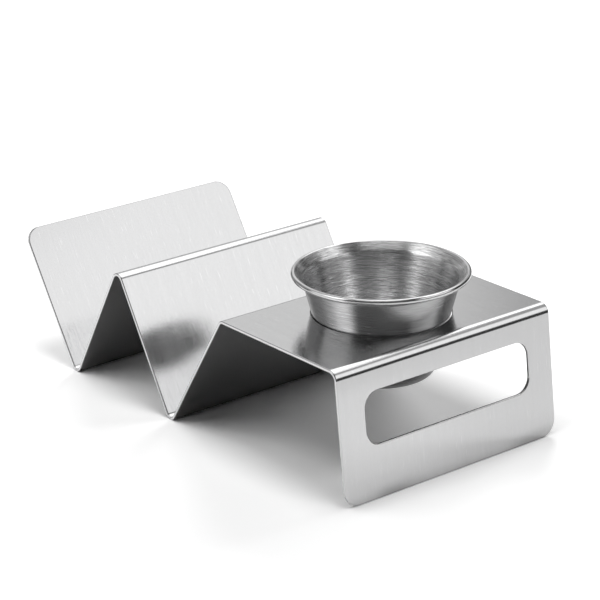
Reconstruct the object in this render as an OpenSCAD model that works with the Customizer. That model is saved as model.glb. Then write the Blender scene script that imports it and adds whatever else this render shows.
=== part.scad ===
// Taco holder with a sauce cup. One strip of sheet steel is folded into two troughs,
// a flat deck and a foot panel, and a small spun cup hangs in the hole of the deck.

/* [Sheet] */
// Width of the strip, measured along its folds
strip_w = 100; // [84:1:140]
// Thickness of the strip
sheet_t = 1; // [0.8:0.1:1.5]
// Radius of the cut corners at both free ends of the strip
corner_r = 6.5; // [2:0.5:12]

/* [Troughs] */
// Height of the free end wall's top edge above the table
wall_h = 50.5; // [40:0.5:60]
// Lean of the free end wall from upright, in degrees
wall_lean = 32.5; // [20:0.5:40]
// Distance between the two valleys
trough_pitch = 63; // [54:1:80]
// Height of the ridge between the two troughs
ridge_h = 49.5; // [40:0.5:60]
// Inside radius of the bend along the ridge
ridge_bend_r = 2.5; // [0.5:0.25:3]
// Inside radius of the bend along each valley
valley_bend_r = 2; // [1:0.25:4]

/* [Deck and foot] */
// Height of the deck's top face above the table
deck_h = 49.5; // [40:0.5:60]
// Distance from the second valley to the start of the deck's flat
deck_set = 34.5; // [28:0.5:44]
// Length of the deck's flat between its two bends
deck_flat = 60; // [56:1:90]
// Inside radius of the bend between the second trough and the deck
deck_bend_r = 2; // [1:0.25:4]
// Inside radius of the bend between the deck and the foot panel
foot_bend_r = 3; // [1:0.25:5]
// Lean of the foot panel from upright, in degrees
foot_lean = 6; // [0:0.5:14]

/* [Hand slot] */
// Length of the slot across the foot panel
slot_w = 77; // [50:1:80]
// Height of the slot, measured up the panel
slot_h = 19.5; // [14:0.5:22]
// Distance from the foot's lower edge up the panel to the slot
slot_rise = 19.5; // [12:0.5:21]
// Corner radius of the slot
slot_r = 6; // [2:0.5:7]

/* [Sauce cup] */
// Thickness of the cup's sheet
cup_t = 0.6; // [0.4:0.1:0.8]
// Height of the cup over its rolled rim
cup_h = 39.5; // [30:0.5:50]
// Diameter over the rolled rim
cup_rim_d = 65; // [60:0.5:72]
// Diameter of the flat part of the base
cup_base_d = 32; // [26:0.5:36]
// Outside radius of the corner between base and wall
cup_base_r = 4; // [2:0.5:6]
// Inside radius of the bend where the wall flares out into the lip
flare_r = 2.5; // [1.5:0.25:4]
// Rise of the lip from level, in degrees
lip_rise = 45; // [25:1:60]
// Length of the lip's flat between the flare and the rolled rim
lip_flat = 3; // [1:0.25:4]
// Outside radius of the rolled rim
curl_r = 1; // [0.9:0.05:1.3]
// How far round the rim is rolled, in degrees
curl_turn = 270; // [180:5:275]

/* [Seat of the cup] */
// Height of the rolled rim above the deck
cup_proud = 16; // [10:0.5:24]
// Gap between the cup's wall and the upper edge of the hole
seat_gap = 0.2; // [0.1:0.05:0.5]
// Distance of the hole from the middle of the deck, towards the troughs
hole_shift = 1; // [0:0.25:3]

/* [Hidden] */
$fn = 96;

// How far a cutter stands out of the sheet that it cuts
over = 1;
// How far a bend stands proud of its flats, and by what angle its ends are splayed
proud = 0.002;
splay = 20;
// The fan that cuts a bend out of its ring: the widest step between two of its points,
// and how many times the ring's radius it reaches
fan_step = 45;
fan_reach = 2;

// A piece of bent sheet follows a belt that runs over rollers. Each roller is
// [x, height, radius] on the sheet's mid-line, with a positive radius where the
// sheet turns to its left and a negative one where it turns to its right.
function left_of(heading) = [-sin(heading), cos(heading)];
function along(heading) = [cos(heading), sin(heading)];
function touch(roller, heading) = [roller.x, roller.y] - roller.z * left_of(heading);
function heading_to(a, b) =
    atan2(b.y - a.y, b.x - a.x) - asin((b.z - a.z) / norm([b.x - a.x, b.y - a.y]));
function headings(rollers, first, last) = [
    first,
    for (i = [1 : len(rollers) - 1]) heading_to(rollers[i - 1], rollers[i]),
    last
];

// The strip's rollers, from the first valley to the bend above the foot
valley_z = valley_bend_r + sheet_t + proud;
deck_start = trough_pitch + deck_set;
deck_end = deck_start + deck_flat;
first_valley = [0, valley_z, valley_bend_r + sheet_t / 2];
ridge = [trough_pitch / 2, ridge_h - ridge_bend_r - sheet_t, -ridge_bend_r - sheet_t / 2];
second_valley = [trough_pitch, valley_z, valley_bend_r + sheet_t / 2];
deck_bend = [deck_start, deck_h - deck_bend_r - sheet_t, -deck_bend_r - sheet_t / 2];
foot_bend = [deck_end, deck_h - foot_bend_r - sheet_t, -foot_bend_r - sheet_t / 2];
strip_rollers = [first_valley, ridge, second_valley, deck_bend, foot_bend];
strip_headings = headings(strip_rollers, wall_lean - 90, foot_lean - 90);

// The strip's two free ends, on its mid-line: the wall's upper corner reaches
// wall_h, and the foot's lower corner stands on the table
wall_root = touch(first_valley, wall_lean - 90);
wall_len = (wall_h - sheet_t / 2 * sin(wall_lean) - wall_root.y) / cos(wall_lean);
wall_tip = wall_root - wall_len * along(wall_lean - 90);
foot_root = touch(foot_bend, foot_lean - 90);
foot_len = (foot_root.y - sheet_t / 2 * sin(foot_lean)) / cos(foot_lean);
foot_tip = foot_root + foot_len * along(foot_lean - 90);

// The strip's two furthest corners, and the middle between them
left_x = wall_tip.x - sheet_t / 2 * cos(wall_lean);
right_x = foot_tip.x + sheet_t / 2 * cos(foot_lean);
middle_x = (left_x + right_x) / 2;

// The cup's rollers: the corner of the base, the flare and the rolled rim. The lip's
// flat joins the last two, lip_flat long, so the flare's centre follows from the rim's.
base_corner = [cup_base_d / 2, cup_base_r, cup_base_r - cup_t / 2];
rim = [cup_rim_d / 2 - curl_r, cup_h - curl_r, -curl_r + cup_t / 2];
flare_mid_r = flare_r + cup_t / 2;
flare_centre = [rim.x, rim.y] - (rim.z + flare_mid_r) * left_of(lip_rise)
    - lip_flat * along(lip_rise);
flare = [flare_centre.x, flare_centre.y, -flare_mid_r];
cup_rollers = [base_corner, flare, rim];
cup_headings = headings(cup_rollers, 0, lip_rise - curl_turn);

// The hole is cut to the cup: its upper edge lies where the wall, seated with its
// rim cup_proud above the deck, is seat_gap narrower
wall_heading = heading_to(base_corner, flare);
wall_foot = [base_corner.x, base_corner.y] - cup_base_r * left_of(wall_heading);
seat_level = cup_h - cup_proud;
seat_r = wall_foot.x + (seat_level - wall_foot.y) / tan(wall_heading);
hole_r = seat_r + seat_gap;
hole_x = (deck_start + deck_end) / 2 - hole_shift;

// A straight stretch of sheet, seen in section, from one point to the next. At a bend
// its inner side runs on by half the sheet's thickness: inner is 1 where that is the
// left side, -1 where it is the right side, and 0 at a free end.
module flat_section(from, to, t, inner_from = 0, inner_to = 0) {
    run = to - from;
    lap = t / 2;
    translate(from) rotate(atan2(run.y, run.x)) polygon([
        [-lap * max(-inner_from, 0), -t / 2],
        [norm(run) + lap * max(-inner_to, 0), -t / 2],
        [norm(run) + lap * max(inner_to, 0), t / 2],
        [-lap * max(inner_from, 0), t / 2]
    ]);
}

// A bend in section: part of a ring round a roller. Its ends are splayed, so that they
// lie inside the flats that they meet, and it stands a hair proud, so that it crosses
// their faces cleanly.
module bend_section(roller, way_in, way_out, t, free_end) {
    side = sign(roller.z);
    inner_r = abs(roller.z) - t / 2;
    reach = fan_reach * (inner_r + t);
    entry = way_in - 90 * side;
    leave = way_out - 90 * side;
    first = entry - splay * side;
    last = leave + (free_end ? 0 : splay * side);
    steps = ceil(abs(last - first) / fan_step);
    translate([roller.x, roller.y]) intersection() {
        difference() {
            circle(inner_r + t + proud);
            circle(inner_r + proud);
        }
        polygon([
            [0, 0],
            inner_r * along(entry),
            for (k = [0 : steps]) reach * along(first + (last - first) * k / steps),
            inner_r * along(leave)
        ]);
    }
}

// Every bend of a belt, and the flats between one roller and the next
module belt_section(rollers, ways, t, free_end = false) {
    for (i = [0 : len(rollers) - 1])
        bend_section(rollers[i], ways[i], ways[i + 1], t, free_end && i == len(rollers) - 1);
    for (i = [1 : len(rollers) - 1]) {
        from = rollers[i - 1];
        to = rollers[i];
        flat_section(touch(from, ways[i]), touch(to, ways[i]), t, sign(from.z), sign(to.z));
    }
}

// A rounded rectangle about its own middle
module rounded_rectangle(size, r) {
    square([size.x - 2 * r, size.y], center = true);
    square([size.x, size.y - 2 * r], center = true);
    for (x = [-1, 1], y = [-1, 1])
        translate([x * (size.x / 2 - r), y * (size.y / 2 - r)]) circle(r);
}

// The whole strip, folded, with square ends
module bent_strip() {
    rotate([90, 0, 0]) linear_extrude(strip_w, center = true) {
        flat_section(wall_tip, wall_root, sheet_t, inner_to = 1);
        belt_section(strip_rollers, strip_headings, sheet_t);
        flat_section(foot_root, foot_tip, sheet_t, inner_from = -1);
    }
}

// Puts a shape at a free end of the strip: X runs in along the panel, Y across it
module at_end(tip, heading) {
    translate([tip.x, 0, tip.y]) rotate([0, -heading, 0]) children();
}

// What is cut off the two square corners of a free end to round them
module corner_cutters() {
    for (side = [0, 1]) mirror([0, side, 0])
        translate([0, strip_w / 2, 0]) linear_extrude(sheet_t + 2 * over, center = true)
            difference() {
                translate([-over, -corner_r]) square([corner_r + over, corner_r + over]);
                translate([corner_r, -corner_r]) circle(corner_r + proud);
            }
}

// The slot through the foot panel, measured up from the panel's lower edge
module slot_cutter() {
    translate([slot_rise + slot_h / 2, 0, 0])
        linear_extrude(sheet_t + 2 * over, center = true)
            rounded_rectangle([slot_h, slot_w], slot_r);
}

// The round hole that the cup hangs in
module hole_cutter() {
    translate([hole_x, 0, deck_h - sheet_t - over])
        cylinder(r = hole_r, h = sheet_t + 2 * over);
}

// One piece of sheet: end wall, first trough, ridge, second trough, deck and foot
module folded_stand() {
    color([0.8, 0.8, 0.81]) translate([-middle_x, 0, 0]) difference() {
        bent_strip();
        at_end(wall_tip, wall_lean - 90) corner_cutters();
        at_end(foot_tip, foot_lean + 90) {
            corner_cutters();
            slot_cutter();
        }
        hole_cutter();
    }
}

// One piece of sheet: flat base, conical wall, flared lip and rolled rim
module sauce_cup() {
    color([0.68, 0.68, 0.7])
        translate([hole_x - middle_x, 0, deck_h + cup_proud - cup_h]) rotate_extrude() {
            flat_section([0, cup_t / 2], touch(base_corner, 0), cup_t, inner_to = 1);
            belt_section(cup_rollers, cup_headings, cup_t, free_end = true);
        }
}

folded_stand();
sauce_cup();
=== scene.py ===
# %% [markdown]
# A taco holder: one strip of brushed steel, folded into two troughs, a level deck and a foot
# panel with a hand slot, and a small sauce cup that hangs in the deck's hole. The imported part
# says where each piece is and how large, so the scene is built round it, in metres, and
# nothing is fitted afterwards.

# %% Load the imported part
import math
import bmesh
import bpy
from mathutils import Matrix, Vector


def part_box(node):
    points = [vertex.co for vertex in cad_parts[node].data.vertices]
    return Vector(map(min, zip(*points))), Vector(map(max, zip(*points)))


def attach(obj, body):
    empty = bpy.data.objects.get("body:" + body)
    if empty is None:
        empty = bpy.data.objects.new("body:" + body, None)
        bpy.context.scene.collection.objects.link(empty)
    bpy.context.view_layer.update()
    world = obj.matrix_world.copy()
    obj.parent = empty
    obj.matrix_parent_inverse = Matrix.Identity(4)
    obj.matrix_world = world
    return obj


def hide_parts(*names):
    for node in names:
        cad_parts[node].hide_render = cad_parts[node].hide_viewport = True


MM = 0.001
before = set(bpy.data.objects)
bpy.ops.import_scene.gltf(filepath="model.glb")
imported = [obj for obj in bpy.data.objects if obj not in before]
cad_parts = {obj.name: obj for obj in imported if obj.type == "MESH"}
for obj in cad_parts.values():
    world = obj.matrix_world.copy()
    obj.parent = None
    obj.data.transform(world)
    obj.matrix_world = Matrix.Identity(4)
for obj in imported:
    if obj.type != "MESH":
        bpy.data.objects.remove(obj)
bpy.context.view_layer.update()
stand_low, stand_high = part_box("folded_stand")
cup_low, cup_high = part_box("sauce_cup")
print("stand", [round(v / MM, 2) for v in stand_high - stand_low], "mm")
print("cup", [round(v / MM, 2) for v in cup_high - cup_low], "mm")

# %% [markdown]
# A photograph of steel is mostly a photograph of what the steel reflects, and that depends
# on where the eye is. So the camera comes first. It could be aimed at the holder with a
# constraint, but this view was worked out from the photograph and has a slight roll as well,
# so its turn, drop and roll are multiplied into one matrix instead.

# %% Camera
VIEW_TURN = math.radians(51.5951)
VIEW_DROP = math.radians(20.7354)
VIEW_ROLL = math.radians(-0.9727)
VIEW_PLACE = Vector((680.19, -528.91, 362.46)) * MM
SENSOR = 36
FOCAL_PIXELS = 2419.33
FRAME_PIXELS = 600
CLIP_START = 50 * MM


def make_camera():
    camera = bpy.data.cameras.new("camera")
    camera.sensor_width = SENSOR
    camera.lens = SENSOR * FOCAL_PIXELS / FRAME_PIXELS
    camera.clip_start = CLIP_START
    camera.dof.use_dof = False
    turned = Matrix.Rotation(VIEW_TURN, 4, "Z") @ Matrix.Rotation(math.pi / 2 - VIEW_DROP, 4, "X")
    rolled = turned @ Matrix.Rotation(VIEW_ROLL, 4, "Z")
    stand = bpy.data.objects.new("camera", camera)
    stand.matrix_world = Matrix.Translation(VIEW_PLACE) @ rolled
    bpy.context.scene.collection.objects.link(stand)
    bpy.context.scene.camera = stand
    return camera


print("lens", round(make_camera().lens, 1), "mm")

# %% [markdown]
# Sheet that runs over bends is like a belt over rollers. Each roller is a place, a height
# and a radius on the middle of the sheet, positive where the sheet turns to its left.
# From one roller to the next the belt is straight and touches both, and that gives the
# heading of every flat. The angles could be measured one by one instead, but then they would
# never quite agree with the heights. The same rule serves the folded strip and the cup.

# %% A belt over rollers
def left_of(heading):
    return Vector((-math.sin(heading), math.cos(heading)))


def along(heading):
    return Vector((math.cos(heading), math.sin(heading)))


def touch(roller, heading):
    """The point where a belt of that heading touches the roller."""
    return Vector(roller[:2]) - roller[2] * left_of(heading)


def heading_to(a, b):
    gap = Vector(b[:2]) - Vector(a[:2])
    return math.atan2(gap.y, gap.x) - math.asin((b[2] - a[2]) / gap.length)


def headings(rollers, first, last):
    between = [heading_to(a, b) for a, b in zip(rollers, rollers[1:])]
    return [first, *between, last]


# %% [markdown]
# The real strip is stainless sheet of 1 mm, and the tools of a press brake give each bend its
# inside radius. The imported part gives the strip's width and height. Radii and distances
# between bends can't be read from a box, so they are named here once, as in the part's own
# source, and everything else is worked out from them.

# %% Sizes of the strip
SHEET_T = 1 * MM
WALL_LEAN = math.radians(32.5)
TROUGH_PITCH = 63 * MM
RIDGE_R = 2.5 * MM
VALLEY_R = 2 * MM
DECK_SET = 34.5 * MM
DECK_FLAT = 60 * MM
DECK_BEND_R = 2 * MM
FOOT_BEND_R = 3 * MM
FOOT_LEAN = math.radians(6)
RIDGE_H = 49.5 * MM
DECK_H = 49.5 * MM

half_t = SHEET_T / 2
strip_w = stand_high.y - stand_low.y
strip_top = max(stand_high.z, DECK_H)
deck_start = TROUGH_PITCH + DECK_SET
strip_rollers = [
    (0, VALLEY_R + SHEET_T, VALLEY_R + half_t),
    (TROUGH_PITCH / 2, RIDGE_H - RIDGE_R - SHEET_T, -RIDGE_R - half_t),
    (TROUGH_PITCH, VALLEY_R + SHEET_T, VALLEY_R + half_t),
    (deck_start, DECK_H - DECK_BEND_R - SHEET_T, -DECK_BEND_R - half_t),
    (deck_start + DECK_FLAT, DECK_H - FOOT_BEND_R - SHEET_T, -FOOT_BEND_R - half_t),
]
strip_ways = headings(strip_rollers, WALL_LEAN - math.pi / 2, FOOT_LEAN - math.pi / 2)
wall_root = touch(strip_rollers[0], strip_ways[0])
wall_len = (strip_top - half_t * math.sin(WALL_LEAN) - wall_root.y) / math.cos(WALL_LEAN)
foot_root = touch(strip_rollers[-1], strip_ways[-1])
foot_len = (foot_root.y - half_t * math.sin(FOOT_LEAN)) / math.cos(FOOT_LEAN)
print("flats head", [round(math.degrees(way), 1) for way in strip_ways], "degrees")

# %% [markdown]
# The cup is spun from a disc of thinner sheet, and its section is a belt over rollers too:
# the corner of the base, the flare below the lip, and the rim, which is rolled three quarters
# of the way round. The hole in the deck could have a radius of its own, but then the cup
# would float in it or cut into it. The real one hangs by its sloping wall, so the section
# comes first, and the wall's radius at the deck's height sets the radius of the hole.

# %% Sizes of the cup
CUP_T = 0.6 * MM
CUP_BASE_D = 32 * MM
CUP_BASE_R = 4 * MM
FLARE_R = 2.5 * MM
LIP_RISE = math.radians(45)
LIP_FLAT = 3 * MM
CURL_R = 1 * MM
CURL_TURN = math.radians(270)
HOLE_GAP = 0.2 * MM

cup_half_t = CUP_T / 2
cup_h = cup_high.z - cup_low.z
cup_rim_d = cup_high.x - cup_low.x
cup_axis = (cup_low + cup_high) / 2
base_corner = (CUP_BASE_D / 2, CUP_BASE_R, CUP_BASE_R - cup_half_t)
rim = (cup_rim_d / 2 - CURL_R, cup_h - CURL_R, cup_half_t - CURL_R)
flare_centre = (Vector(rim[:2]) - (rim[2] + FLARE_R + cup_half_t) * left_of(LIP_RISE)
                - LIP_FLAT * along(LIP_RISE))
flare = (flare_centre.x, flare_centre.y, -FLARE_R - cup_half_t)
cup_rollers = [base_corner, flare, rim]
cup_ways = headings(cup_rollers, 0, LIP_RISE - CURL_TURN)
wall_way = cup_ways[1]
wall_foot = Vector(base_corner[:2]) - CUP_BASE_R * left_of(wall_way)
seat_level = DECK_H - cup_low.z
seat_r = wall_foot.x + (seat_level - wall_foot.y) / math.tan(wall_way)
hole_r = seat_r + HOLE_GAP
print("cup wall rises at", round(math.degrees(wall_way), 1), "degrees, hole radius",
      round(hole_r / MM, 2), "mm")

# %% [markdown]
# The real strip starts as a flat blank. A cutter takes out its outline, the round hole
# and the slot, a belt brushes it, and a press brake folds it line by line. It could be
# modelled as it stands, but the order of the workshop pays off: everything that is laid on
# the flat blank follows the sheet through every bend. So first comes the list of fold lines
# along the blank, and how much is turned at each. A bend is many small turns in a row, and
# between two bends the sheet stays flat.

# %% Fold lines of the blank
BEND_STEP = math.radians(5)
DECK, FOOT = 4, 5  # which of the flats is the deck, and which the foot panel


def bend_steps(turn, mid_r):
    """The fold lines of one bend: how far each lies past the last, and its angle."""
    steps = math.ceil(abs(turn) / BEND_STEP)
    chord = abs(2 * mid_r * math.sin(turn / steps / 2))
    ends = turn / steps / 2
    return [(0.0, ends), *[(chord, turn / steps)] * (steps - 1), (chord, ends)]


def fold_lines():
    """Every fold line of the blank as (place along the blank, angle), and the flats."""
    folds, flats = [], []
    place = 0.0
    last_point = wall_root - wall_len * along(strip_ways[0])
    for roller, way_in, way_out in zip(strip_rollers, strip_ways, strip_ways[1:]):
        flat = (touch(roller, way_in) - last_point).length
        flats.append((place, place + flat))
        place += flat
        for gap, angle in bend_steps(way_out - way_in, roller[2]):
            place += gap
            folds.append((place, angle))
        last_point = touch(roller, way_out)
    flats.append((place, place + foot_len))
    return folds, flats


folds, flats = fold_lines()
blank_len = flats[-1][1]
print(len(folds), "fold lines on a blank", round(blank_len / MM, 1), "mm long")

# %% [markdown]
# The blank and the slot are both rectangles with round corners. Their points could be worked
# out with sines and cosines, but two operators do it: a square face is scaled, and a bevel
# of its corner points rounds it. Of the slot only the ring of edges is kept. The hole is a
# circle of edges from the start.

# %% Outlines
CORNER_STEPS = 14
HOLE_STEPS = 160
ROUND = 0.5  # the profile of a bevel that follows a true arc


def rectangle(bm, length, width, x):
    """The corners of a new face of that size, with its middle at x on the middle line."""
    corners = bmesh.ops.create_grid(bm, x_segments=1, y_segments=1, size=0.5)["verts"]
    bmesh.ops.scale(bm, vec=(length, width, 1), verts=corners)
    bmesh.ops.translate(bm, verts=corners, vec=(x, 0, 0))
    return corners


def round_corners(bm, corners, radius):
    return bmesh.ops.bevel(
        bm, geom=corners, offset=radius, segments=CORNER_STEPS, profile=ROUND,
        affect="VERTICES", material=-1)


def slot_outline(bm, x, length, width, radius):
    """A rectangle whose corners are rounded, as a ring of edges."""
    rounded = round_corners(bm, rectangle(bm, length, width, x), radius)
    face = rounded["verts"][0].link_faces[0]
    ring = list(face.edges)
    bmesh.ops.delete(bm, geom=[face], context="FACES_ONLY")
    return ring


def hole_outline(bm, x, radius):
    """A circle, as a ring of edges in the order of the mesh, the same in every run."""
    made = bmesh.ops.create_circle(bm, segments=HOLE_STEPS, radius=radius)["verts"]
    bmesh.ops.translate(bm, verts=made, vec=(x, 0, 0))
    return [edge for edge in bm.edges if edge.verts[0] in made]


# %% [markdown]
# Booleans could cut the openings out of the folded strip, but they tend to leave slivers.
# On the flat blank each opening lies inside one flat, and after the blank has been cut
# across at the fold lines that flat is a single face. So this face is taken away and a fill
# is laid between its border and the outline.

# %% Open a flat
def panel_at(bm, x):
    """The face of the blank that covers a place on its middle line."""
    for face in bm.faces:
        xs = [v.co.x for v in face.verts]
        if min(xs) < x < max(xs):
            return face
    raise ValueError("no panel there")


def open_panel(bm, x, outline):
    """Swaps one panel for the same panel with an outline cut out of it."""
    panel = panel_at(bm, x)
    border = list(panel.edges)
    bmesh.ops.delete(bm, geom=[panel], context="FACES_ONLY")
    bmesh.ops.triangle_fill(
        bm, use_beauty=True, use_dissolve=False, edges=border + outline, normal=(0, 0, 1))


# %% [markdown]
# Now the blank itself. It is cut across at every fold line, so that it can bend there and
# nowhere else. Last, a narrow border is inset along every outline. The cut edge will be
# rounded later, and the border gives that rounding even faces to end in, instead of the
# long triangles of the fill.

# %% Cut the blank
CORNER_R = 6.5 * MM
SLOT_W = 77 * MM
SLOT_H = 19.5 * MM
SLOT_RISE = 19.5 * MM
SLOT_R = 6 * MM
HOLE_SHIFT = 1 * MM
BORDER = 0.45 * MM
CUT_NEAR = 0.0001 * MM


def cut_blank():
    bm = bmesh.new()
    round_corners(bm, rectangle(bm, blank_len, strip_w, blank_len / 2), CORNER_R)
    for place, _ in folds:
        everything = bm.verts[:] + bm.edges[:] + bm.faces[:]
        bmesh.ops.bisect_plane(
            bm, geom=everything, plane_co=(place, 0, 0), plane_no=(1, 0, 0), dist=CUT_NEAR)
    hole_x = sum(flats[DECK]) / 2 - HOLE_SHIFT
    slot_x = blank_len - SLOT_RISE - SLOT_H / 2
    open_panel(bm, hole_x, hole_outline(bm, hole_x, hole_r))
    open_panel(bm, slot_x, slot_outline(bm, slot_x, SLOT_H, SLOT_W, SLOT_R))
    bmesh.ops.reverse_faces(bm, faces=[face for face in bm.faces if face.normal.z < 0])
    bmesh.ops.inset_region(
        bm, faces=bm.faces[:], thickness=BORDER, use_boundary=True, use_even_offset=True)
    return bm


blank = cut_blank()
print("flat blank of", len(blank.faces), "faces")

# %% [markdown]
# Brushing comes before folding on the real strip, so its lines bend with the sheet. The
# pattern could follow Object coordinates, but those stay straight in space and would cut
# through the folds. So the flat blank's own coordinates are kept as a UV map, in metres,
# before anything is turned.

# %% Lay the grain on the blank
BLANK_MAP = "blank"


def lay_grain(bm):
    uv = bm.loops.layers.uv.new(BLANK_MAP)
    for face in bm.faces:
        for loop in face.loops:
            loop[uv].uv = loop.vert.co.xy


lay_grain(blank)
print("grain laid over", round(blank_len / MM, 1), "by", round(strip_w / MM, 1), "mm")

# %% [markdown]
# Folding is done from the far end back to the start, because then everything before a
# fold line still lies flat and the line is where the list says. At each line, all that
# lies beyond it is turned about it. The first edge never moves meanwhile, so the folded
# strip is stood in its place by that edge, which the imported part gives.

# %% Fold the blank
NEAR = 0.001 * MM


def fold_blank(bm):
    place_of = {v: v.co.x for v in bm.verts}
    for place, angle in reversed(folds):
        beyond = [v for v, x in place_of.items() if x > place + NEAR]
        turn = Matrix.Rotation(-angle, 3, "Y")
        bmesh.ops.rotate(bm, cent=(place, 0, 0), matrix=turn, verts=beyond)
    lean = Matrix.Rotation(-strip_ways[0], 3, "Y")
    bmesh.ops.rotate(bm, cent=(0, 0, 0), matrix=lean, verts=bm.verts)
    start_x = stand_low.x + half_t * math.cos(WALL_LEAN)
    start_z = strip_top - half_t * math.sin(WALL_LEAN)
    bmesh.ops.translate(bm, verts=bm.verts, vec=(start_x, 0, start_z))


fold_blank(blank)
ends_at = max(v.co.x for v in blank.verts)
print("the middle of the folded sheet ends at x", round(ends_at / MM, 2), "mm")

# %% [markdown]
# So far the strip is only the middle of the sheet. The Solidify modifier gives it its
# thickness, evenly through the bends, and sorts the top, the back and the cut edge into
# three material slots. Solid bends could be modelled face by face, but then every bend would
# have to be drawn twice, once for each side.

# %% Give the sheet its thickness
TOP, BACK, EDGE = 0, 1, 2


def mesh_piece(bm, name):
    mesh = bpy.data.meshes.new(name)
    bm.to_mesh(mesh)
    bm.free()
    piece = bpy.data.objects.new(name, mesh)
    bpy.context.scene.collection.objects.link(piece)
    for face in mesh.polygons:
        face.use_smooth = True
    return piece


def thicken(piece, thickness, back_slot, edge_slot):
    """Gives a mid-surface its thickness, and three slots: front, back and cut edge."""
    for _ in range(3):
        piece.data.materials.append(None)
    wall = piece.modifiers.new("thickness", "SOLIDIFY")
    wall.thickness = thickness
    wall.offset = 0
    wall.use_even_offset = True
    wall.material_offset = back_slot
    wall.material_offset_rim = edge_slot


sheet = mesh_piece(blank, "folded_sheet")
thicken(sheet, SHEET_T, BACK, EDGE)
print("sheet of", len(sheet.data.polygons), "faces before its thickness")

# %% [markdown]
# A cutter leaves the edge of a sheet rolled over a little on the side that it enters, and a
# tiny burr on the other side. The roll-over catches the light as a thin bright line along
# every outline. A Bevel modifier rounds all sharp edges alike, so the thickness is worked
# into the mesh first. There an edge between the top and the cut can be told from one at the
# back by the materials on its two sides, and each gets a rounding of its own. A Weighted
# Normal modifier then keeps the flats flat in shading, right up to the bends.

# %% Round the cut edges
ROLL_OVER = 0.32 * MM
ROLL_OVER_STEPS = 3
BURR = 0.06 * MM
BURR_STEPS = 1
FLATS_WEIGHT = 80


def worked_in(piece):
    """The piece's mesh with its modifiers worked in, and the modifiers taken off."""
    shown = piece.evaluated_get(bpy.context.evaluated_depsgraph_get())
    bm = bmesh.new()
    bm.from_mesh(shown.to_mesh())
    shown.to_mesh_clear()
    piece.modifiers.clear()
    return bm


def round_edges(bm, side, radius, segments):
    """Rounds the sheet's edge where the cut meets one of its two sides."""
    sharp = [e for e in bm.edges if {f.material_index for f in e.link_faces} == {side, EDGE}]
    made = bmesh.ops.bevel(
        bm, geom=sharp, offset=radius, offset_type="OFFSET", segments=segments, profile=ROUND,
        affect="EDGES", clamp_overlap=True, material=-1)
    for face in made["faces"]:
        face.material_index = side
        face.smooth = True
    return len(sharp)


def break_edges(piece):
    """Rounds the cut edges of both sides. Returns how many edges each side had."""
    bm = worked_in(piece)
    on_top = round_edges(bm, TOP, ROLL_OVER, ROLL_OVER_STEPS)
    on_back = round_edges(bm, BACK, BURR, BURR_STEPS)
    bm.to_mesh(piece.data)
    bm.free()
    normals = piece.modifiers.new("flat_normals", "WEIGHTED_NORMAL")
    normals.mode = "FACE_AREA"
    normals.weight = FLATS_WEIGHT
    return on_top, on_back


print("edges rounded on the top and on the back", break_edges(sheet))

# %% [markdown]
# The cup's section is drawn as a chain of points, from the axis out and up. The flats
# are extruded from the last point, and the bends are that point spun about a roller, so
# the radii are true. It could be a curve with handles, but those only come near an arc.

# %% Draw the cup's section
FLAT_STEP = 3 * MM


def draw_cup_section(bm):
    """The middle of the cup's sheet, from the axis to the end of the rolled rim."""
    tip = bm.verts.new((0, 0, cup_half_t))
    for roller, way_in, way_out in zip(cup_rollers, cup_ways, cup_ways[1:]):
        entry = touch(roller, way_in)
        flat = Vector((entry.x, 0, entry.y)) - tip.co
        pieces = max(1, round(flat.length / FLAT_STEP))
        for _ in range(pieces):
            tip = bmesh.ops.extrude_vert_indiv(bm, verts=[tip])["verts"][0]
            tip.co += flat / pieces
        turn = way_out - way_in
        swept = bmesh.ops.spin(
            bm, geom=[tip], cent=(roller[0], 0, roller[1]), axis=(0, -1, 0),
            angle=turn, steps=math.ceil(abs(turn) / BEND_STEP))
        tip = next(g for g in swept["geom_last"] if isinstance(g, bmesh.types.BMVert))


section = bmesh.new()
draw_cup_section(section)
print("cup section of", len(section.verts), "points")

# %% [markdown]
# The marks of the lathe will follow the section, so each of its points has to know how far
# along the section it lies. A UV map would have a seam somewhere round the cup. A number on
# each point has none, and it is carried along by the spin and by the Solidify modifier.

# %% Measure along the section
RUN = "run"


def measure_run(bm):
    """Writes the length along the section to each point, and returns the whole length."""
    run = bm.verts.layers.float.new(RUN)
    walk = next(v for v in bm.verts if v.co.x < NEAR)
    edge = walk.link_edges[0]
    while edge is not None:
        ahead = edge.other_vert(walk)
        ahead[run] = walk[run] + edge.calc_length()
        edge = next((e for e in ahead.link_edges if e is not edge), None)
        walk = ahead
    return walk[run]


section_len = measure_run(section)
print("cup wall is", round(section_len / MM, 1), "mm along its section")

# %% [markdown]
# Turning the section about the upright axis makes the whole cup, as the lathe does. A
# Screw modifier would do it too, but the operator leaves a mesh that can be mended at once:
# the full spin is merged where it closes, and the points on the axis become one. Then the
# normals are made to agree, and all of them are flipped if the base looks up, because the
# Solidify modifier takes the side that the normals leave for the inside.

# %% Spin the cup
TURN_STEPS = 192
OUTSIDE, INSIDE, LIP = 0, 1, 2


def spin_cup(bm):
    bmesh.ops.spin(
        bm, geom=bm.verts[:] + bm.edges[:], cent=(0, 0, 0), axis=(0, 0, 1),
        angle=2 * math.pi, steps=TURN_STEPS, use_merge=True)
    bmesh.ops.remove_doubles(bm, verts=bm.verts, dist=NEAR)
    bmesh.ops.recalc_face_normals(bm, faces=bm.faces[:])
    base = min(bm.faces, key=lambda face: face.calc_center_median().xy.length)
    if base.normal.z > 0:
        bmesh.ops.reverse_faces(bm, faces=bm.faces[:])
    bmesh.ops.translate(bm, verts=bm.verts, vec=(cup_axis.x, cup_axis.y, cup_low.z))


spin_cup(section)
cup = mesh_piece(section, "cup_shell")
thicken(cup, CUP_T, INSIDE, LIP)
print("cup of", len(cup.data.polygons), "faces before its thickness")

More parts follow.
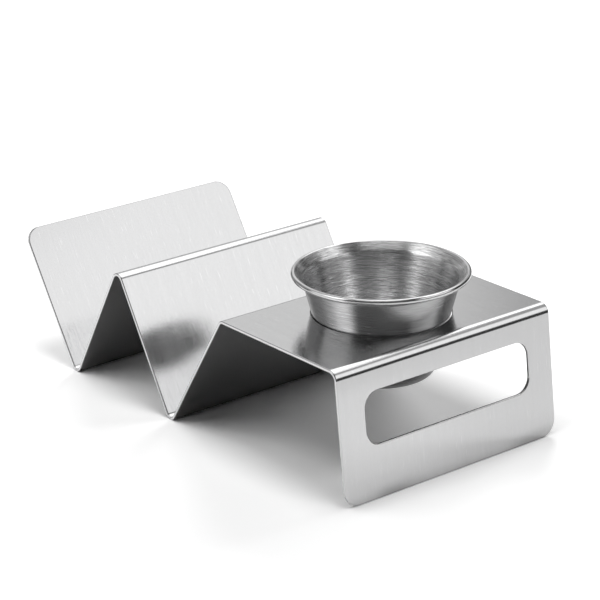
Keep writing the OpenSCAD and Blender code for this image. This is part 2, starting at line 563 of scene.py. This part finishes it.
# %% [markdown]
# A shader is easier to read as a sum than as a drawing of wires. The class below wraps one
# socket, so that Python's own operators add Math nodes. Every other node comes from its
# one method, which takes the node's type, its settings and what goes into its sockets.

# %% Shader sums
class Wire:
    """One socket in a node tree."""

    def __init__(self, tree, socket=None):
        self.tree, self.socket = tree, socket

    def node(self, kind, settings=None, sockets=None, out=0):
        made = self.tree.nodes.new(kind)
        for name, value in (settings or {}).items():
            setattr(made, name, value)
        for name, value in (sockets or {}).items():
            if isinstance(value, Wire):
                self.tree.links.new(value.socket, made.inputs[name])
            else:
                made.inputs[name].default_value = value
        return Wire(self.tree, made.outputs[out] if made.outputs else None)

    def sum(self, operation, a, b=0.0):
        return self.node("ShaderNodeMath", {"operation": operation}, {0: a, 1: b})

    def __add__(self, other):
        return self.sum("ADD", self, other)

    def __radd__(self, other):
        return self.sum("ADD", other, self)

    def __sub__(self, other):
        return self.sum("SUBTRACT", self, other)

    def __rsub__(self, other):
        return self.sum("SUBTRACT", other, self)

    def __mul__(self, other):
        return self.sum("MULTIPLY", self, other)

    def __rmul__(self, other):
        return self.sum("MULTIPLY", other, self)

    def __truediv__(self, other):
        return self.sum("DIVIDE", self, other)

    def smooth(self, low, high):
        """0 below low, 1 above high, with a soft step between."""
        return self.node(
            "ShaderNodeMapRange", {"interpolation_type": "SMOOTHSTEP"},
            {"Value": self, "From Min": low, "From Max": high})

    def part(self, axis):
        return self.node("ShaderNodeSeparateXYZ", sockets={0: self}, out=axis)


# %% [markdown]
# A few nodes come up again and again: a place put together from three numbers, noise, a
# blend of two numbers, and sums on vectors. A Math node would turn a vector grey, so
# vectors have a helper of their own.

# %% Helpers for the finishes
def together(x, y, z=0.0):
    maker = next(v for v in (x, y, z) if isinstance(v, Wire))
    return maker.node("ShaderNodeCombineXYZ", sockets={0: x, 1: y, 2: z})


def vector_sum(operation, a, b=(0, 0, 0), out="Vector"):
    return a.node("ShaderNodeVectorMath", {"operation": operation}, {0: a, 1: b}, out)


def level_way(place):
    """The level direction from the upright axis to a place, with a length of 1."""
    return vector_sum("NORMALIZE", vector_sum("MULTIPLY", place, (1, 1, 0)))


def noise(where, detail=2.0, roughness=0.5):
    return where.node(
        "ShaderNodeTexNoise", {"noise_dimensions": "3D"},
        {"Vector": where, "Scale": 1.0, "Detail": detail, "Roughness": roughness})


def mixed(factor, low, high):
    """Low where the factor is 0 and high where it is 1, for numbers."""
    return low + factor * (high - low)


def object_place(start):
    return start.node("ShaderNodeTexCoord", out="Object")


def new_material(name):
    material = bpy.data.materials.new(name)
    material.use_nodes = True
    tree = material.node_tree
    tree.nodes.clear()
    return material, Wire(tree)


# %% [markdown]
# Every finish on the holder is bare stainless steel. They differ in how light the steel is
# left, in how rough, and in their marks, so one function makes the shader and each finish
# hands it its own sums. Very fine marks that run round the cup draw a reflection out across
# themselves. They are too fine to be modelled as height, so the shader's anisotropy does
# that part.

# %% Bare steel
BLUER = 1.005
QUARTER_TURN = 0.25


def steel(start, base, rough, height, depth, stretched=0.0):
    """Bare metal: its colour, its roughness and the height of its brush marks.
    Stretched draws its reflections out across marks that run round the upright axis."""
    colour = start.node("ShaderNodeCombineColor", sockets={0: base, 1: base, 2: base * BLUER})
    normal = start.node(
        "ShaderNodeBump", sockets={"Height": height, "Strength": 1.0, "Distance": depth})
    shader = start.node("ShaderNodeBsdfPrincipled", sockets={
        "Base Color": colour, "Metallic": 1.0, "Roughness": rough, "Normal": normal,
        "Anisotropic": stretched, "Anisotropic Rotation": QUARTER_TURN if stretched else 0.0})
    start.node("ShaderNodeOutputMaterial", sockets={"Surface": shader})


# %% [markdown]
# The sheet is brushed on a belt, from the wall towards the foot. Its grit leaves lines that
# are a few centimetres long and a fraction of a millimetre wide, over broader bands where
# the belt pressed harder, and use adds nicks and specks. Each kind of mark is noise on the
# blank's UV map, stretched along the strip, so a table can say how long and how wide each
# kind is. It could be an anisotropic shader, but lines of real height also catch the light
# when somebody comes close, and they can be baked.

# %% Marks on the sheet
SHEET_MARKS = {
    # kind: (length, width, layer of the noise, its detail, its roughness)
    "grain": (28 * MM, 0.22 * MM, 0.0, 3.0, 0.6),
    "streak": (20 * MM, 0.7 * MM, 7.0, 2.0, 0.6),
    "band": (140 * MM, 3.5 * MM, 3.0, 2.0, 0.5),
    "wave": (26 * MM, 26 * MM, 5.0, 1.0, 0.5),
    "nick": (6 * MM, 0.45 * MM, 9.0, 1.0, 0.5),
    "speck": (1.1 * MM, 1.1 * MM, 11.0, 2.0, 0.5),
    "mill_line": (28 * MM, 0.66 * MM, 21.0, 3.0, 0.6),
    "cloud": (26 * MM, 26 * MM, 25.0, 3.0, 0.5),
}


def blank_place(start):
    """How far along the blank and how far from its middle line, in metres."""
    uv = start.node("ShaderNodeUVMap", {"uv_map": BLANK_MAP})
    return uv.part("X"), uv.part("Y")


def sheet_marks(run, across, *kinds):
    marks = {}
    for kind in kinds:
        length, width, layer, detail, roughness = SHEET_MARKS[kind]
        marks[kind] = noise(together(run / length, across / width, layer), detail, roughness)
    return marks


def weighed(marks, level, shares):
    """A level, with a share of each kind of mark added to it."""
    for kind, share in shares.items():
        level = level + marks[kind] * share
    return level


print(len(SHEET_MARKS), "kinds of mark for the sheet")

# %% [markdown]
# The top of the strip. Height, roughness and colour each have a level and a share of some
# kinds of mark. They could share one noise, but real marks don't all show in all three: a
# band of belt pressure changes the shine and not the height. Two places have painted light.
# The last millimetres of the foot are darkened in patches, as painted shade, and the foot
# panel is lighter towards its near end, as a painted sheen.

# %% Brushed sheet
GRAIN_DEPTH = 0.018 * MM
NICKED = (0.64, 0.76)
TOP_HEIGHT = 0.0, {"grain": 0.7, "streak": 0.5, "wave": 3.0, "nick": -0.25}
TOP_ROUGH = 0.04, {"band": 0.05, "grain": 0.04, "wave": 0.04, "speck": 0.04}
TOP_COLOUR = 0.555, {"band": 0.04, "streak": 0.04, "grain": 0.025, "speck": 0.04, "nick": 0.08}
# painted shade: how far the darkened end of the foot reaches, its patches and how much darker
FOOT_END_SHADE_LEN = 6 * MM
FOOT_END_SHADE_PATCHES = (0.35, 0.65)
FOOT_END_SHADE_BY = 0.22
# painted sheen: where the foot panel is made lighter, and by how much
SHEEN_AFTER = 8 * MM
SHEEN_ACROSS = (-45 * MM, 40 * MM)
SHEEN_BY = 0.07


def brushed_sheet():
    material, start = new_material("brushed_sheet")
    run, across = blank_place(start)
    marks = sheet_marks(run, across, "grain", "streak", "band", "wave", "nick", "speck")
    marks["nick"] = marks["nick"].smooth(*NICKED)
    # painted shade: the last millimetres of the foot are darkened in patches
    foot_end_shade = run.smooth(blank_len - FOOT_END_SHADE_LEN, blank_len) * marks["wave"].smooth(*FOOT_END_SHADE_PATCHES)
    foot_from = flats[FOOT][0]
    # painted sheen: the foot panel is lighter towards its near end
    painted_sheen = run.smooth(foot_from, foot_from + SHEEN_AFTER) * (1 - across.smooth(*SHEEN_ACROSS))
    base = weighed(marks, *TOP_COLOUR) - foot_end_shade * FOOT_END_SHADE_BY + painted_sheen * SHEEN_BY
    steel(start, base, weighed(marks, *TOP_ROUGH), weighed(marks, *TOP_HEIGHT), GRAIN_DEPTH)
    return material


# %% [markdown]
# Only one side of the strip was brushed. The back keeps the duller finish of the rolling
# mill, with faint lines and soft clouds, and its colour is darker as painted shade for the
# undersides. It could share the brushed material, but then the undersides would shine as
# brightly as the top.

# %% Back of the sheet
BACK_HEIGHT = 0.0, {"mill_line": 0.4, "cloud": 2.0}
BACK_ROUGH = 0.17, {"cloud": 0.10, "mill_line": 0.04}
# painted shade: the back's colour is kept dark for the undersides, which lie in shade
BACK_SHADED_COLOUR = 0.35, {"mill_line": 0.05, "cloud": 0.07}


def sheet_back():
    material, start = new_material("sheet_back")
    marks = sheet_marks(*blank_place(start), "mill_line", "cloud")
    steel(start, weighed(marks, *BACK_SHADED_COLOUR), weighed(marks, *BACK_ROUGH),
          weighed(marks, *BACK_HEIGHT), GRAIN_DEPTH)
    return material


# %% [markdown]
# A cut edge is grained by the cutter. Along the outline it is made bright, and on the edges
# of the slot and the hole dark. Both could be slots of their own, but the Solidify modifier
# knows only one rim. So the inner cuts are told by their place on the blank's UV map: away
# from its ends and its sides. The cup has no such map, reads zero for it, and is bright all
# round.

# %% Cut edge of the sheet
EDGE_GRAIN = 0.3 * MM
EDGE_DEPTH = 0.01 * MM
INNER_FROM = 20 * MM
INNER_TO = blank_len - 10 * MM
INNER_HALF_W = 45 * MM
INNER_FADE = 4 * MM
OUTLINE_COLOUR = 0.72, {"grain": 0.16}
INNER_COLOUR = 0.16, {"grain": 0.10}
EDGE_ROUGH = 0.24, {"grain": 0.14, "inner": 0.16}


def inner_cuts(start):
    """1 on the edges of the slot and the hole, 0 along the outline of the strip."""
    run, across = blank_place(start)
    inner = run.smooth(INNER_FROM, INNER_FROM + INNER_FADE)
    inner = inner * (1 - run.smooth(INNER_TO - INNER_FADE, INNER_TO))
    off_middle = start.sum("ABSOLUTE", across)
    return inner * (1 - off_middle.smooth(INNER_HALF_W - INNER_FADE, INNER_HALF_W))


def cut_edge():
    material, start = new_material("cut_edge")
    place = object_place(start)
    grain = noise(together(*(place.part(axis) / EDGE_GRAIN for axis in "XYZ")))
    marks = {"grain": grain, "inner": inner_cuts(start)}
    base = mixed(marks["inner"], weighed(marks, *OUTLINE_COLOUR), weighed(marks, *INNER_COLOUR))
    steel(start, base, weighed(marks, *EDGE_ROUGH), grain, EDGE_DEPTH)
    return material


# %% [markdown]
# The cup is polished while it turns, so its marks run round it. A Wave texture could draw
# them as perfect circles, but real ones are broken and uneven. So the rings are noise on a
# narrow cylinder: the direction from the axis, scaled small, gives the way round, and the
# length along the section, which was kept in the mesh, gives the way up. There is no seam,
# because a direction has none.

# %% Rings round the cup
CURL_FROM = section_len - abs(rim[2]) * CURL_TURN
SEAT_RUN = wall_foot.x + (seat_level - wall_foot.y) / math.sin(wall_way)


def run_along(start):
    return start.node("ShaderNodeAttribute", {"attribute_name": RUN}, out="Fac")


def rings(start, round_steps, pitch, detail=2.0, roughness=0.5):
    """Noise that runs round the cup: marks in a turn, and how far apart they lie."""
    centred = start.node(
        "ShaderNodeMapping", {"vector_type": "POINT"},
        {"Vector": object_place(start), "Location": (-cup_axis.x, -cup_axis.y, 0)})
    way = level_way(centred)
    where = together(
        way.part("X") * round_steps, way.part("Y") * round_steps, run_along(start) / pitch)
    return noise(where, detail, roughness)


print("the rim's roll starts", round(CURL_FROM / MM, 1), "mm along the section, the seat",
      round(SEAT_RUN / MM, 1), "mm")

# %% [markdown]
# Three sizes of ring make the lines, over soft clouds. Noise has a mean of a half, and its
# share of that is taken off the level, so more contrast doesn't make the cup lighter. One
# finish for the whole cup would be simpler. But outside it is nearly polished, while inside
# the marks are coarse and broken and draw reflections out most. Below the deck the outside
# is darker, as painted shade. The rolled rim was pressed smooth by its tool, so the
# marks fade there.

# %% Turned finishes of the cup
CLOUD_STEPS = 2.0
CLOUD_PITCH = 6 * MM
RING_LINES = -0.5, {"ring": 0.5, "broad": 0.05, "fine": 0.45}
RING_CLOUDS = -0.025, {"cloud": 0.05}
RING_ROUGH = {"ring": 0.06, "cloud": 0.04}
RING_HEIGHT = 0.0, {"ring": 1.0, "fine": 0.4}
ROLL_FADE = 0.4 * MM
ROLL_SMOOTHER = 0.75
ROLL_ROUGH = 0.13
# painted shade: where the cup's outside turns darker below the deck
SHADE_BELOW_SEAT = (SEAT_RUN - 8 * MM, SEAT_RUN - 1 * MM)


def turned_steel(name, base, shaded_below_deck, contrast, rough, depth, stretched, round_steps, pitch):
    """Steel that was brushed while it turned. Below the deck it takes a darker colour, as painted
    shade.
    """
    material, start = new_material(name)
    marks = {
        "ring": rings(start, round_steps, pitch, detail=3.0, roughness=0.65),
        "fine": rings(start, round_steps * 2, pitch / 2),
        "broad": rings(start, round_steps / 2, pitch * 5),
        "cloud": rings(start, CLOUD_STEPS, CLOUD_PITCH, detail=1.0),
    }
    run = run_along(start)
    rolled = run.smooth(CURL_FROM - ROLL_FADE, CURL_FROM + ROLL_FADE)
    lines = weighed(marks, *RING_LINES) * (1 - rolled * ROLL_SMOOTHER)
    level = mixed(run.smooth(*SHADE_BELOW_SEAT), shaded_below_deck, base)
    steel(start, level + lines * contrast + weighed(marks, *RING_CLOUDS),
          mixed(rolled, weighed(marks, rough, RING_ROUGH), ROLL_ROUGH),
          weighed(marks, *RING_HEIGHT), depth, stretched)
    return material


# %% [markdown]
# Each slot now gets its finish. The cut edge is made once for each piece, so that each
# piece can be baked by itself. Then the imported solid that each piece stands in for is
# hidden, and the piece moves with the one body there is.

# %% Give each piece its finish
sheet_finishes = {TOP: brushed_sheet(), BACK: sheet_back(), EDGE: cut_edge()}
# the outside's colour below the deck, 0.28, is a painted shade
cup_outside = turned_steel(
    "cup_outside", base=0.48, shaded_below_deck=0.28, contrast=0.6, rough=0.21, depth=0.005 * MM,
    stretched=0.6, round_steps=2.0, pitch=0.5 * MM)
cup_inside = turned_steel(
    "cup_inside", base=0.69, shaded_below_deck=0.69, contrast=1.8, rough=0.18, depth=0.020 * MM,
    stretched=1.0, round_steps=3.5, pitch=0.36 * MM)
cup_finishes = {OUTSIDE: cup_outside, INSIDE: cup_inside, LIP: cut_edge()}
for piece, finishes in ((sheet, sheet_finishes), (cup, cup_finishes)):
    for slot, finish in finishes.items():
        piece.data.materials[slot] = finish
for piece, node, slot in (
        (sheet, "folded_stand", "stand_sheet"), (cup, "sauce_cup", "cup_sheet")):
    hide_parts(node)
    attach(piece, "root")
    print(piece.name, "wears", [finish.name for finish in piece.data.materials])

# %% [markdown]
# The background is white, but steel is lit by what it sees, so white can't be had with
# more light. Instead the world and the panels below are told which rays see them. A ray
# that comes from the camera, from gloss or through glass shows them. A ray that has left
# matt paper only carries light, and for it they are dark.

# %% What a ray sees
def seen(start):
    """1 for rays that show the background, 0 for those that only carry light."""
    path = {name: start.node("ShaderNodeLightPath", out=name) for name in (
        "Is Camera Ray", "Is Glossy Ray", "Is Transmission Ray", "Diffuse Depth")}
    shown = start.sum("MAXIMUM", path["Is Camera Ray"], path["Is Glossy Ray"])
    shown = start.sum("MAXIMUM", shown, path["Is Transmission Ray"])
    return shown * (1 - start.sum("MINIMUM", path["Diffuse Depth"], 1))


# %% [markdown]
# The holder stands on a disc of white paper. More light would make the paper white, but it
# would overlight the steel as well. So the paper's colour is raised for the camera alone,
# and a little more further out, where the lamps reach less. Its shadows stay, and the steel
# sees plain paper. Towards its rim the disc turns clear, so no edge shows against the
# white of the world.

# %% Floor
FLOOR_R = 0.9
FLOOR_SIDES = 96
FLOOR_NEAR = 0.25
FLOOR_FADE = 0.5
PAPER = 0.9
PAPER_GAIN = 1.3
FAR_GAIN = 0.5


def make_floor():
    bm = bmesh.new()
    bmesh.ops.create_circle(bm, cap_ends=True, segments=FLOOR_SIDES, radius=FLOOR_R)
    floor = mesh_piece(bm, "floor")
    material, start = new_material("paper")
    from_middle = vector_sum("LENGTH", object_place(start), out="Value")
    far = from_middle.smooth(FLOOR_NEAR, FLOOR_R)
    to_camera = start.node("ShaderNodeLightPath", out="Is Camera Ray")
    white = mixed(to_camera, PAPER, PAPER * (PAPER_GAIN + far * FAR_GAIN))
    colour = start.node("ShaderNodeCombineColor", sockets={0: white, 1: white, 2: white})
    lit = start.node("ShaderNodeBsdfDiffuse", sockets={"Color": colour})
    clear = start.node("ShaderNodeBsdfTransparent")
    faded = start.node("ShaderNodeMixShader", sockets={
        0: from_middle.smooth(FLOOR_FADE, FLOOR_R), 1: lit, 2: clear})
    start.node("ShaderNodeOutputMaterial", sockets={"Surface": faded})
    floor.data.materials.append(material)


make_floor()
print("floor", 2 * FLOOR_R, "m across")

# %% [markdown]
# Steel is photographed in a dim room with large lit panels stood round it, and what the
# eye takes for the colour of the steel is mostly the brightness of those panels. They could
# be area lamps, but a lamp has one size, one softness and lights the paper too. Here they
# are drawn on the inside of a large ball round the holder. Each has its place as seen from
# the holder, in degrees, how softly it ends, and its brightness. A later panel in the table
# lies over an earlier one.

# %% Panels round the holder
ROOM_DIM = 0.06
BELOW_DIM = 0.20
HORIZON_FADE = 9
CEILING = 0.75
CEILING_FROM = 74
CEILING_SOFT = 10
PANELS = [
    # (middle, half width, lowest, highest, softness, brightness)
    (-40, 46, 30, 60, 9, 0.16),
    (-40, 66, 72, 90, 6, 3.30),
    (180, 70, 56, 90, 9, 0.42),
    (-165, 30, 34, 60, 9, 0.48),
    (-170, 22, -10, 32, 9, 0.30),
    (-112, 26, -12, 22, 9, 0.70),
    (-118, 24, 22, 60, 7, 1.00),
    (-107, 16, 32, 62, 7, 2.10),
    (135, 32, -12, 8, 9, 0.18),
    (145, 18, -14, 8, 9, 0.75),
    (140, 36, 16, 46, 5, 0.46),
    (151, 17, 16, 46, 7, 0.84),
    (64, 24, 38, 58, 4, 0.45),
    (36, 26, 19, 43, 6, 1.28),
    (121, 26, 37, 72, 18, 2.00),
    (90, 31, 54, 64, 4, 1.90),
]


def passed(height, limit, soft):
    """0 well below a limit and 1 well above it, softly over that many degrees."""
    return height.smooth(limit - soft / 2, limit + soft / 2)


def room_level(start):
    """How bright the room is in each direction from the holder."""
    place = object_place(start)
    way = vector_sum("NORMALIZE", place)
    round_way = level_way(place)
    height = start.sum("ARCSINE", way.part("Z")) * math.degrees(1)
    level = mixed(height.smooth(-HORIZON_FADE, 0), BELOW_DIM, ROOM_DIM)
    for middle, half, low, high, soft, brightness in PANELS:
        towards = (math.cos(math.radians(middle)), math.sin(math.radians(middle)), 0)
        facing = vector_sum("DOT_PRODUCT", round_way, towards, out="Value")
        sides = [math.cos(math.radians(half + soft / 2)), math.cos(math.radians(half - soft / 2))]
        inside = facing.smooth(*sides) * passed(height, low, soft)
        inside = inside * (1 - passed(height, high, soft))
        level = level + inside * (brightness - level)
    return level + passed(height, CEILING_FROM, CEILING_SOFT) * (CEILING - level)


print(len(PANELS), "panels and a ceiling above", CEILING_FROM, "degrees")

# %% [markdown]
# The ball that carries the panels is seen in reflections only. It throws no shadow and
# gives the paper no light, so the panels can be moved for the sake of the steel without
# touching the floor. For the same reason Cycles doesn't aim any light rays at it.

# %% The room
ROOM_R = 1.6
ROOM_SIDES = 64
ROOM_RINGS = 32


def make_room():
    bm = bmesh.new()
    bmesh.ops.create_uvsphere(
        bm, u_segments=ROOM_SIDES, v_segments=ROOM_RINGS, radius=ROOM_R)
    room = mesh_piece(bm, "dim_room")
    material, start = new_material("lit_panels")
    glow = start.node(
        "ShaderNodeEmission", sockets={"Strength": room_level(start) * seen(start)})
    start.node("ShaderNodeOutputMaterial", sockets={"Surface": glow})
    room.data.materials.append(material)
    material.cycles.emission_sampling = "NONE"
    for ray in ("camera", "diffuse", "shadow", "transmission", "volume_scatter"):
        setattr(room, "visible_" + ray, False)


make_room()
print("room", 2 * ROOM_R, "m across")

# %% [markdown]
# The paper has lamps of its own: large soft discs above and round the holder, which no
# reflection shows. They set how deep the shadows are and where they lie. One sun would be
# simpler, but its shadow would have a hard edge.

# %% Lamps for the paper
LAMP_R = 1.3
LAMP_SIZE = 0.6
LAMPS = [
    # (turn, rise, watts)
    (0, 90, 5.4),
    (135, 30, 8.4),
    (-135, 60, 3.5),
    (-90, 60, 2.7),
    (0, 60, 2.8),
    (90, 30, 4.2),
]


def make_lamp(turn, rise, watts):
    lamp = bpy.data.lights.new("soft_lamp", "AREA")
    lamp.shape = "DISK"
    lamp.size = LAMP_SIZE
    lamp.energy = watts
    holder = bpy.data.objects.new("soft_lamp", lamp)
    turned = Matrix.Rotation(math.radians(turn), 3, "Z")
    place = turned @ Matrix.Rotation(-math.radians(rise), 3, "Y") @ Vector((LAMP_R, 0, 0))
    aimed = place.to_track_quat("Z", "Y").to_matrix().to_4x4()
    holder.matrix_world = Matrix.Translation(place) @ aimed
    holder.visible_glossy = False
    holder.visible_camera = False
    bpy.context.scene.collection.objects.link(holder)


for lamp in LAMPS:
    make_lamp(*lamp)
print(len(LAMPS), "lamps,", round(sum(watts for _, _, watts in LAMPS), 1), "W in all")

# %% [markdown]
# Behind everything the world is white to the eye and dark to the paper. The Standard view
# shows a colour about as it is written. A filmic view would grey the white background.

# %% World and view
def white_world():
    world = bpy.data.worlds.new("room")
    world.use_nodes = True
    world.node_tree.nodes.clear()
    start = Wire(world.node_tree)
    back = start.node(
        "ShaderNodeBackground", sockets={"Color": (1, 1, 1, 1), "Strength": seen(start)})
    start.node("ShaderNodeOutputWorld", sockets={"Surface": back})
    bpy.context.scene.world = world


white_world()
bpy.context.scene.view_settings.view_transform = "Standard"
print("view", bpy.context.scene.view_settings.view_transform)
